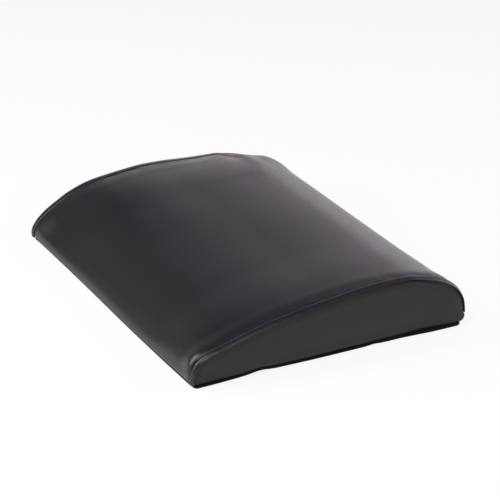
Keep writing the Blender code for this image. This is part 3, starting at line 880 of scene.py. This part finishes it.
# The base itself, which the end covers stand on
def makeBase():
    piece = startPiece("base_sheet", bpy.ops.mesh.primitive_grid_add, x_subdivisions=base["columns"],
                       y_subdivisions=base["rows"], size=2)
    low, high = np.array(baseLow)[:2], np.array(baseHigh)[:2]
    half, middle = (high - low) / 2, (high + low) / 2
    flat = np.array([v.co[:2] for v in piece.data.vertices]) * half
    # its corners are rounded by drawing the points near them in
    inner = half - np.where(flat[:, :1] > 0, base["noseCorner"], base["corner"])
    over = np.maximum(np.abs(flat) - inner, 0)
    longest = np.maximum(over.max(axis=1), 1e-9)
    shrink = longest / np.maximum(np.linalg.norm(over, axis=1), 1e-9)
    flat = np.sign(flat) * (np.minimum(np.abs(flat), inner) + over * shrink[:, None])
    wayIn = np.minimum(half[1] - np.abs(flat[:, 1]), half[0] - np.abs(flat[:, 0]))
    x, y = (flat + middle).T
    fromLow, fromNear = (half + flat).T
    out = base["outMore"] + base["noseOut"] * fade(x, base["noseFrom"])
    out = out + base["cornerOut"] * fade(-x, base["cornerFrom"])
    y = y - (1 - easeIn(fromNear / base["rim"])) * out
    x = x - (1 - easeIn(fromLow / base["rim"])) * leatherRise(base["rimRun"], y)
    dip = base["edgeDip"] * (1 - easeIn(wayIn / base["edgeDipReach"]))
    z = baseTop - seatGap + edgeLift(x, fromNear) - dip
    piece.data.vertices.foreach_set("co", np.stack([x, y, z], axis=1).astype(np.float32).ravel())
    thicken(piece, baseTop - seatGap - base["dotRise"])
    roundEdges(piece, base["edgeRound"], 3, 50)
    applyModifiers(piece)
    smoothShade(piece, 50)
    return finishPiece(piece, gripCloth, "mat", ["base_panel"])


def makeDots():
    # one dot, pressed out in steps, then rows of it over the whole base
    pitch = base["dotPitch"]
    columns = int((baseHigh.x - baseLow.x - 2 * base["dotMargin"]) / pitch)
    rows = int((baseHigh.y - baseLow.y - 2 * base["dotMargin"]) / pitch)
    first = ((baseLow.x + baseHigh.x - columns * pitch) / 2, -rows * pitch / 2, base["dotRise"])
    piece = startPiece("grip_dots", bpy.ops.mesh.primitive_circle_add, vertices=8,
                       radius=base["dotSize"] / 2, fill_type="NGON", location=first)
    bpy.ops.object.transform_apply(location=True)
    bpy.ops.object.mode_set(mode="EDIT")
    for share, size in base["dotSteps"]:
        down = (0, 0, -base["dotRise"] * share)
        bpy.ops.mesh.extrude_region_move(TRANSFORM_OT_translate={"value": down})
        bpy.ops.transform.resize(value=(size, size, 1), center_override=first)
    bpy.ops.object.mode_set(mode="OBJECT")
    repeat(piece, columns + 1, (pitch, 0, 0))
    repeat(piece, rows + 1, (0, pitch, 0))
    applyModifiers(piece)
    for v in piece.data.vertices:
        v.co.z += float(edgeLift(v.co.x, v.co.y - baseLow.y))
    outwards(piece)
    smoothShade(piece, 40)
    return finishPiece(piece, gripRubber, "mat", ())


baseSheet = makeBase()
gripDots = makeDots()
print("base made")


# Stitches: one is modelled for each seam, and copied along it
seamThread = {"length": 2.7 * mm, "thickness": 0.45 * mm, "pitch": 3.5 * mm, "wayIn": 7.3 * mm,
              "rise": -0.6 * mm, "fromFoot": 5 * mm}
zipThread = {"length": 2.2 * mm, "thickness": 0.44 * mm, "pitch": 2.9 * mm, "stand": 0.1 * mm}
stitchEnd = ((0.16, 0.25, 0.85), (0.09, 0.45, 0.5))     # shares of length and thickness, and narrowing


def facesWhere(piece, chosen):
    # in edit mode, only the faces that the test takes are selected
    bpy.ops.mesh.select_all(action="DESELECT")
    edit = bmesh.from_edit_mesh(piece.data)
    for face in edit.faces:
        face.select_set(bool(chosen(face)))
    bmesh.update_edit_mesh(piece.data)


def modelStitch(thread):
    # lies along Y, with its ends pulled down into the leather
    length, thickness = thread["length"], thread["thickness"]
    stitch = startPiece("stitch", bpy.ops.mesh.primitive_cylinder_add, vertices=6, radius=thickness / 2,
                        depth=length / 2, rotation=(math.pi / 2, 0, 0))
    bpy.ops.object.transform_apply(rotation=True)
    bpy.ops.object.mode_set(mode="EDIT")
    for end in (-1, 1):
        facesWhere(stitch, lambda face: face.normal.y * end > 0.9)
        tip = Vector((0, end * length / 4, 0))
        for reach, drop, size in stitchEnd:
            step = Vector((0, end * length * reach, -thickness * drop))
            tip += step
            bpy.ops.mesh.extrude_region_move(TRANSFORM_OT_translate={"value": step})
            bpy.ops.transform.resize(value=(size, 1, size), center_override=tip)
    bpy.ops.object.mode_set(mode="OBJECT")
    outwards(stitch)
    return stitch


def copyTo(pattern, places, name):
    # a copy of the pattern, with its own mesh, at every place, joined into one piece
    copies = []
    for place in places:
        copy = pattern.copy()
        copy.data = pattern.data.copy()
        copy.data.transform(place)
        scene.collection.objects.link(copy)
        copies.append(copy)
    bpy.data.objects.remove(pattern)
    bpy.ops.object.select_all(action="DESELECT")
    for copy in copies:
        copy.select_set(True)
    bpy.context.view_layer.objects.active = copies[0]
    bpy.ops.object.join()
    piece = bpy.context.object
    piece.name = piece.data.name = name
    smoothShade(piece, 60)
    return piece


def seamPlaces(side):
    first, last = seamThread["fromFoot"], edgeLength - seamThread["fromFoot"]
    runs = np.linspace(first, last, round((last - first) / seamThread["pitch"]) + 1)
    y = side * (halfSpan - seamShift(runs, seamThread["wayIn"]))
    rise = seamThread["rise"] * (1 if side < 0 else welt["farShallower"])
    centres = onLeather(runs, y, rise)
    ahead = onLeather(runs + 1 * mm, y, rise) - onLeather(runs - 1 * mm, y, rise)
    places = []
    for centre, way, run in zip(centres, ahead, runs):
        along = Vector(way).normalized()
        outward = alongEdge(edgeNormal, run)
        across = along.cross(Vector((outward[0], 0, outward[1]))).normalized()
        turn = Matrix((across, along, across.cross(along))).transposed().to_4x4()
        places.append(Matrix.Translation(Vector(centre)) @ turn)
    return places


for side, name in ((-1, "left"), (1, "right")):
    piece = copyTo(modelStitch(seamThread), seamPlaces(side), f"seam_stitches_{name}")
    finishPiece(piece, blackThread, "mat", [f"seam_stitch_{name}"])


def makeZipStitches(name, node, x, z, lean):
    # a straight run of stitches, turned to lie on the face that they hold
    low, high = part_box(node)
    count = int((high.y - low.y) / zipThread["pitch"])
    turn = Matrix.Rotation(lean, 4, "Y")
    places = [Matrix.Translation((x, low.y + (high.y - low.y) * (i + 0.5) / count, z)) @ turn
              for i in range(count)]
    piece = copyTo(modelStitch(zipThread), places, name)
    finishPiece(piece, blackThread, "mat", [node])


upperLow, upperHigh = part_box("zip_stitch_upper")
upperZ = (upperLow.z + upperHigh.z) / 2
upperRun = noseRunAt(upperZ)
upperX, upperOut = alongEdge(edge, upperRun)[0] + zipThread["stand"], alongEdge(edgeNormal, upperRun)
makeZipStitches("zip_stitches_upper", "zip_stitch_upper", upperX, upperZ, math.atan2(*upperOut))
lowerLow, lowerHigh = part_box("zip_stitch_lower")
makeZipStitches("zip_stitches_lower", "zip_stitch_lower", (lowerLow.x + lowerHigh.x) / 2,
                (lowerLow.z + lowerHigh.z) / 2, math.pi / 2)
print("stitches made")


# Zip: woven tapes, the lower one turned up towards the chain, and two rows of nylon coil
zipParts = {
    "rows": 190, "tapeThickness": 0.4 * mm, "tapeUnder": 0.05 * mm, "tapeWave": 0.05 * mm,
    "tapeWaveLong": 6.5 * mm,
    "tapeTurn": ((0.85, 0.5), (0.25, 0.6), (0.06, 0.85), (0.0, 1.3)),   # in from its face and up, mm
    "coilPitch": 1.2 * mm, "wire": 0.5 * mm, "headOver": 0.42 * mm, "slant": 0.25,
}


def tapeOutline(node):
    # the tape's cross-section as a fine line on its outer face, from its free edge to the chain
    low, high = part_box(node)
    if node == "zip_tape_upper":
        return [(high.x, z) for z in np.linspace(high.z, low.z, 22)]
    turn = [(high.x - wayIn * mm, low.z + up * mm) for wayIn, up in zipParts["tapeTurn"]]
    flat = [(x, turn[0][1]) for x in np.linspace(low.x, turn[0][0], 12)]
    return flat + turn[1:-1] + [(high.x, z) for z in np.linspace(turn[-1][1], high.z, 9)]


def makeTape(name, node):
    low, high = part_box(node)
    outline = np.array(tapeOutline(node))
    stations = np.linspace(low.y, high.y, zipParts["rows"])
    points = np.zeros((len(stations), len(outline), 3))
    points[..., 0] = outline[None, :, 0]
    points[..., 1] = stations[:, None]
    points[..., 2] = outline[None, :, 1]
    wave = np.sin(stations / zipParts["tapeWaveLong"])[:, None] * np.linspace(0, 1, len(outline))[None]
    points[..., 0] -= zipParts["tapeUnder"] - zipParts["tapeWave"] * wave
    piece = addPiece(name, points.reshape(-1, 3), gridFaces(len(stations), len(outline)))
    if node == "zip_tape_upper":
        piece.data.flip_normals()
    thicken(piece, zipParts["tapeThickness"])
    applyModifiers(piece)
    outwards(piece)
    smoothShade(piece, 40)
    finishPiece(piece, tapeCloth, "mat", [node])


def makeRow(name, node, side):
    # one turn of nylon coil, pressed to an oval, then a whole row of them
    low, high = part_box(node)
    wire, pitch = zipParts["wire"], zipParts["coilPitch"]
    middle = (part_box("zip_row_upper")[0].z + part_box("zip_row_lower")[1].z) / 2
    outer = high.z if side > 0 else low.z
    head = middle - side * zipParts["headOver"]
    # the upper row's turns stand between the lower's
    first = low.y + wire + (pitch / 2 if side > 0 else 0)
    centre = Vector(((low.x + high.x) / 2, first, (outer + head) / 2))
    piece = startPiece(name, bpy.ops.mesh.primitive_torus_add, major_segments=12, minor_segments=5,
                       major_radius=1 * mm, minor_radius=wire / 2, rotation=(math.pi / 2, 0, 0))
    bpy.ops.object.transform_apply(rotation=True)
    halfX, halfZ = (high.x - low.x - wire) / 2, (abs(outer - head) - wire) / 2
    for v in piece.data.vertices:
        spoke = Vector((v.co.x, 0, v.co.z))
        way = spoke.normalized()
        off = spoke - way * mm
        slant = zipParts["slant"] * pitch * way.x * side
        v.co = Vector((way.x * halfX + off.x, v.co.y + slant, way.z * halfZ + off.z)) + centre
    repeat(piece, int((high.y - low.y - 2 * wire) / pitch), (0, pitch, 0))
    applyModifiers(piece)
    smoothShade(piece, 70)
    finishPiece(piece, coilNylon, "mat", [node])


makeTape("tape_upper", "zip_tape_upper")
makeTape("tape_lower", "zip_tape_lower")
makeRow("coil_upper", "zip_row_upper", 1)
makeRow("coil_lower", "zip_row_lower", -1)
print("zip tapes and coils made")


# The hard parts of the zip keep their CAD shape, with edges rounded by these widths
metalEdges = {"zip_slider": 0.18 * mm, "zip_pull": 0.18 * mm, "zip_top_stop_upper": 0.1 * mm,
              "zip_top_stop_lower": 0.1 * mm, "zip_bottom_stop": 0.1 * mm}


def roundCad(node, width):
    joined = node.modifiers.new("weld", "WELD")
    joined.merge_threshold = weld
    flat = node.modifiers.new("flat", "DECIMATE")
    flat.decimate_type = "DISSOLVE"
    flat.angle_limit = math.radians(2)
    roundEdges(node, width, 2, 30)
    node.data.materials.clear()
    node.data.materials.append(gunMetal)


for name, width in metalEdges.items():
    roundCad(nodes[name], width)
print("zip finished")


# Floor and light: a soft sky that is bright behind on the right and dim in front, a wide lamp
# overhead, a small one in front, a tall narrow one to the left and a wide one to the right
studio = {
    "floorSize": 24.0, "floorColour": 0.97, "floorOwnLight": 0.85,
    "sky": ((-1.0, 0.30), (-0.62, 0.10), (-0.42, 0.09), (-0.1, 0.33), (0.12, 0.185), (0.25, 0.40),
            (0.36, 0.69), (0.5, 0.76), (1.0, 0.74)),           # direction along X, and brightness
    "leftTint": (0.985, 0.98, 1.03), "rightTint": (1.0, 0.925, 1.0), "rightFrom": 0.2,
    "topDim": 0.3, "horizon": 1.8, "frontDim": 0.15,
    "lamps": (("above", (-0.75, -0.5, 1.85), (1.2, 1.2), 18.0),
              ("front", (-0.1, -1.9, 0.85), (0.3, 0.5), 10.0),
              ("left", (-1.05, 0.52, 0.85), (0.32, 1.3), 12.5),
              ("right", (1.35, -0.6, 0.5), (1.0, 0.8), 9.0)),        # place, size and power
}


def makeFloor():
    # bright by itself to the camera and in reflections, plain to other rays, and clear from below
    floor = startPiece("floor", bpy.ops.mesh.primitive_plane_add, size=studio["floorSize"])
    material = bpy.data.materials.new("paleFloor")
    material.use_nodes = True
    tree = material.node_tree
    tree.nodes.clear()
    output = addNode(tree, "ShaderNodeOutputMaterial")
    shade = studio["floorColour"]
    diffuse = addNode(tree, "ShaderNodeBsdfDiffuse", {"Color": (shade, shade, shade, 1)})
    glow = addNode(tree, "ShaderNodeEmission", {"Color": (1, 1, 1, 1), "Strength": 1.0})
    rays = addNode(tree, "ShaderNodeLightPath")
    direct = reckoned(tree, "ADD", rays.outputs["Is Camera Ray"], rays.outputs["Is Glossy Ray"])
    seen = reckoned(tree, "ADD", direct, rays.outputs["Is Transmission Ray"], use_clamp=True)
    share = reckoned(tree, "MULTIPLY", seen, studio["floorOwnLight"])
    lit = addNode(tree, "ShaderNodeMixShader",
                  {0: share, 1: diffuse.outputs["BSDF"], 2: glow.outputs["Emission"]})
    clear = addNode(tree, "ShaderNodeBsdfTransparent")
    face = addNode(tree, "ShaderNodeNewGeometry")
    both = addNode(tree, "ShaderNodeMixShader",
                   {0: face.outputs["Backfacing"], 1: lit.outputs["Shader"], 2: clear.outputs["BSDF"]})
    tree.links.new(both.outputs["Shader"], output.inputs["Surface"])
    floor.data.materials.append(material)


def makeSky():
    # a ramp from left to right, dimmed overhead and in front, and brighter near the ground
    world = bpy.data.worlds.new("studioSky")
    scene.world = world
    world.use_nodes = True
    tree = world.node_tree
    background = tree.nodes["Background"]
    way = addNode(tree, "ShaderNodeTexCoord")
    split = addNode(tree, "ShaderNodeSeparateXYZ", {"Vector": way.outputs["Generated"]})
    along = spread(tree, split.outputs["X"], 0.0, 1.0, -1.0, 1.0)
    ramp = addNode(tree, "ShaderNodeValToRGB", {"Fac": along})
    ramp.color_ramp.interpolation = "EASE"
    stops = ramp.color_ramp.elements
    while len(stops) < len(studio["sky"]):
        stops.new(0.5)
    for stop, (sideways, value) in zip(stops, studio["sky"]):
        stop.position = (sideways + 1) / 2
        tint = studio["rightTint"] if sideways > studio["rightFrom"] else studio["leftTint"]
        stop.color = (*(value * part for part in tint), 1)
    fromTop = spread(tree, split.outputs["Z"], 1.0, studio["topDim"], 0.52, 0.8)
    nearGround = spread(tree, split.outputs["Z"], studio["horizon"], 1.0, 0.08, 0.4)
    fromFront = spread(tree, split.outputs["Y"], studio["frontDim"], 1.0, -0.35, 0.25)
    dimmed = reckoned(tree, "MULTIPLY", reckoned(tree, "MULTIPLY", fromTop, fromFront), nearGround)
    dimming = addNode(tree, "ShaderNodeMix", data_type="RGBA", blend_type="MULTIPLY")
    dimming.inputs["Factor"].default_value = 1.0
    tree.links.new(ramp.outputs["Color"], dimming.inputs["A"])
    tree.links.new(dimmed, dimming.inputs["B"])
    tree.links.new(dimming.outputs["Result"], background.inputs["Color"])
    background.inputs["Strength"].default_value = 1.0


def makeLamps():
    for name, place, size, power in studio["lamps"]:
        turn = (-Vector(place)).to_track_quat("-Z", "Y").to_euler()
        bpy.ops.object.light_add(type="AREA", location=place, rotation=turn)
        lamp = bpy.context.object
        lamp.name = name
        lamp.data.shape = "RECTANGLE"
        lamp.data.size, lamp.data.size_y = size
        lamp.data.energy = power


makeFloor()
makeSky()
makeLamps()
scene.view_settings.view_transform = "Standard"
print("studio lit")
